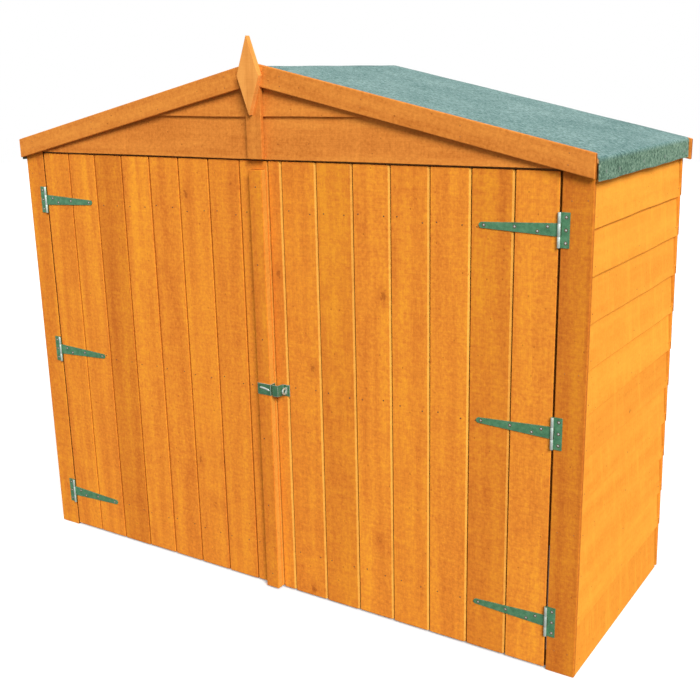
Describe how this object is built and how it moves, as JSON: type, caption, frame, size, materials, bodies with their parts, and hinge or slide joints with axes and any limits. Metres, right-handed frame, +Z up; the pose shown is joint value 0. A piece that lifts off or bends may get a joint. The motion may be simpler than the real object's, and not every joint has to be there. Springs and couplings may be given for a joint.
{
  "type": "bike shelter",
  "caption": "Timber bike store with overlap-clad walls, a low felted gable roof with bargeboards and a diamond finial, and a pair of ledged and braced doors on tee hinges.",
  "frame": {"origin": "on the ground under the middle of the store's overall box", "axes": "+X along the front to the right as seen from the doors, +Y from the doors to the back, +Z up"},
  "size_m": [1.866, 0.746, 1.5555],
  "materials": {
    "treated_timber": "rough-sawn softwood, dip-treated orange brown",
    "frame_timber": "rough-sawn softwood, lightly stained",
    "green_zinc": "green passivated steel with bright worn edges",
    "mineral_felt": "green mineral granules on bitumen felt"
  },
  "bodies": {
    "store": {"front_posts": "frame_timber", "back_posts": "frame_timber", "left_bottom_rail": "frame_timber", "right_bottom_rail": "frame_timber", "back_bottom_rail": "frame_timber", "left_top_rail": "frame_timber", "right_top_rail": "frame_timber", "back_tie": "frame_timber", "side_studs": "frame_timber", "back_studs": "frame_timber", "door_head": "frame_timber", "front_sill": "frame_timber", "front_rafters": "frame_timber", "back_rafters": "frame_timber", "ridge_purlin": "frame_timber", "left_roof_deck": "frame_timber", "right_roof_deck": "frame_timber", "eaves_strips": "frame_timber", "left_corner_board": "treated_timber", "right_corner_board": "treated_timber", "left_side_cladding": "treated_timber", "right_side_cladding": "treated_timber", "back_cladding": "treated_timber", "front_gable_cladding": "treated_timber", "front_left_bargeboard": "treated_timber", "front_right_bargeboard": "treated_timber", "back_left_bargeboard": "treated_timber", "back_right_bargeboard": "treated_timber", "finial_stem": "treated_timber", "finial": "treated_timber", "left_hinge_plates": "green_zinc", "right_hinge_plates": "green_zinc", "roof_felt": "mineral_felt"},
    "left_door": {"left_door_boards": "treated_timber", "left_door_ledges": "treated_timber", "left_door_braces": "treated_timber", "cover_strip": "treated_timber", "left_hinge_straps": "green_zinc", "hasp": "green_zinc"},
    "right_door": {"right_door_boards": "treated_timber", "right_door_ledges": "treated_timber", "right_door_braces": "treated_timber", "right_hinge_straps": "green_zinc", "hasp_keeper": "green_zinc"}
  },
  "joints": [
    {"name": "left_door_hinge", "type": "hinge", "parent": "store", "child": "left_door", "pos_m": [-0.8385, -0.34335, 0.617], "axis": [0, 0, -1], "range_deg": [0, 120]},
    {"name": "right_door_hinge", "type": "hinge", "parent": "store", "child": "right_door", "pos_m": [0.8385, -0.34335, 0.632], "axis": [0, 0, 1], "range_deg": [0, 120]}
  ]
}
